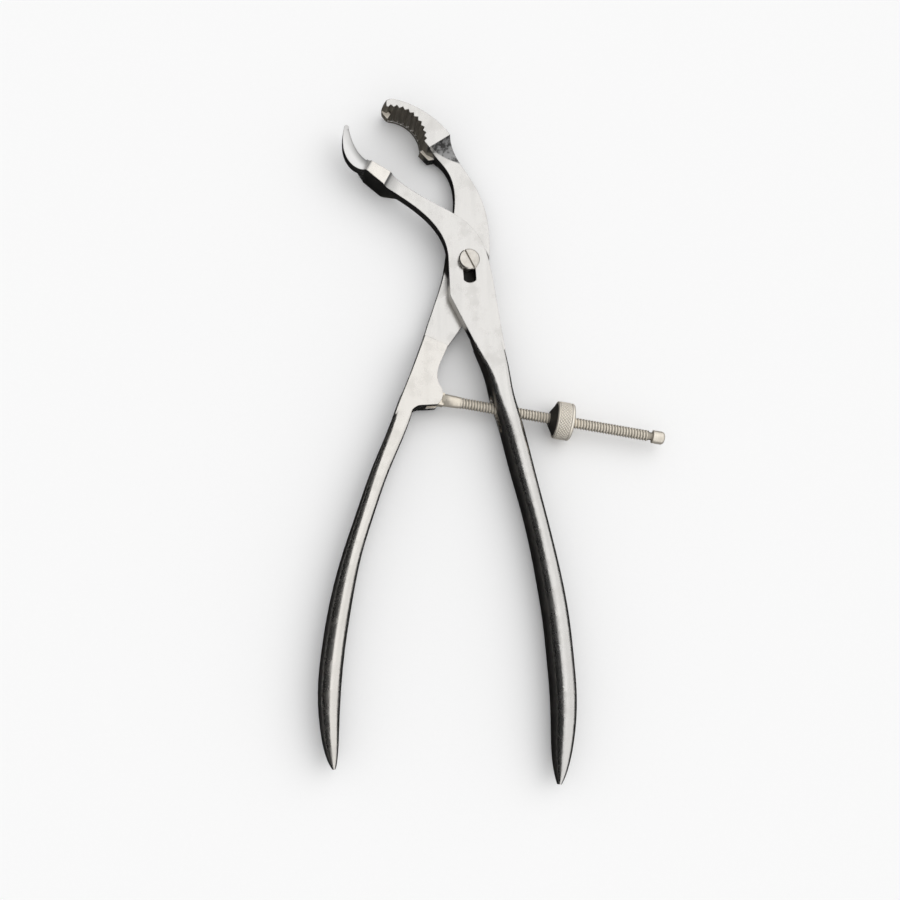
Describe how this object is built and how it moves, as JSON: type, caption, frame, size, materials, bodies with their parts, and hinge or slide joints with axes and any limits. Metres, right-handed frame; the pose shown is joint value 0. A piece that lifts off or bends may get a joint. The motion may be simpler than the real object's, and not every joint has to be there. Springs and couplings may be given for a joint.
{
  "type": "bone holding forceps",
  "caption": "Scissor-handled forceps with a toothed spoon jaw over a smooth hooked jaw, a sliding pivot, and a swinging threaded rod with a knurled nut that locks the handles.",
  "frame": {"origin": "pivot axis at the flat back face of the lap joint, with the front arm's slot as in the picture", "axes": "+X from the left handle towards the right handle and the nut, +Y towards the jaws, +Z out of the front, towards the pivot screw's head"},
  "size_m": [0.1174, 0.2311, 0.0137],
  "materials": {
    "satin_steel": "satin polished stainless steel",
    "screw_steel": "turned stainless steel",
    "thread_steel": "machined stainless steel, slightly warm"
  },
  "bodies": {
    "rear_arm": {"rear_arm": "satin_steel", "rod_hinge_pin": "satin_steel"},
    "pivot_screw": {"pivot_screw": "screw_steel"},
    "front_arm": {"front_arm": "satin_steel"},
    "lock_rod": {"lock_rod": "thread_steel", "rod_end_stop": "thread_steel"},
    "nut_seat": {"nut_seat": "thread_steel"},
    "lock_nut": {"lock_nut": "thread_steel"}
  },
  "joints": [
    {"name": "pivot_turn", "type": "hinge", "parent": "rear_arm", "child": "pivot_screw", "pos_m": [0, 0, 0], "axis": [0, 0, 1], "range_deg": [-11.4, 6]},
    {"name": "pivot_shift", "type": "slide", "parent": "pivot_screw", "child": "front_arm", "axis": [-0.0698, 0.9976, 0], "range_m": [0, 0.0052]},
    {"name": "rod_swing", "type": "hinge", "parent": "rear_arm", "child": "lock_rod", "pos_m": [-0.0134, -0.04745, 0.00453], "axis": [0, 0, 1], "range_deg": [-9.74, 5.15]},
    {"name": "nut_travel", "type": "slide", "parent": "lock_rod", "child": "nut_seat", "axis": [0.9898, -0.1426, 0], "range_m": [-0.00301, 0.02801]},
    {"name": "nut_spin", "type": "hinge", "parent": "nut_seat", "child": "lock_nut", "pos_m": [0.03332, -0.05418, 0.00453], "axis": [0.9898, -0.1426, 0], "range_deg": [-1080, 10080]}
  ],
  "couplings": [
    {"joint": "rod_swing", "follows": "pivot_turn", "ratio": 0.85},
    {"joint": "nut_travel", "follows": "nut_spin", "m_per_rad": 0.00015915}
  ]
}
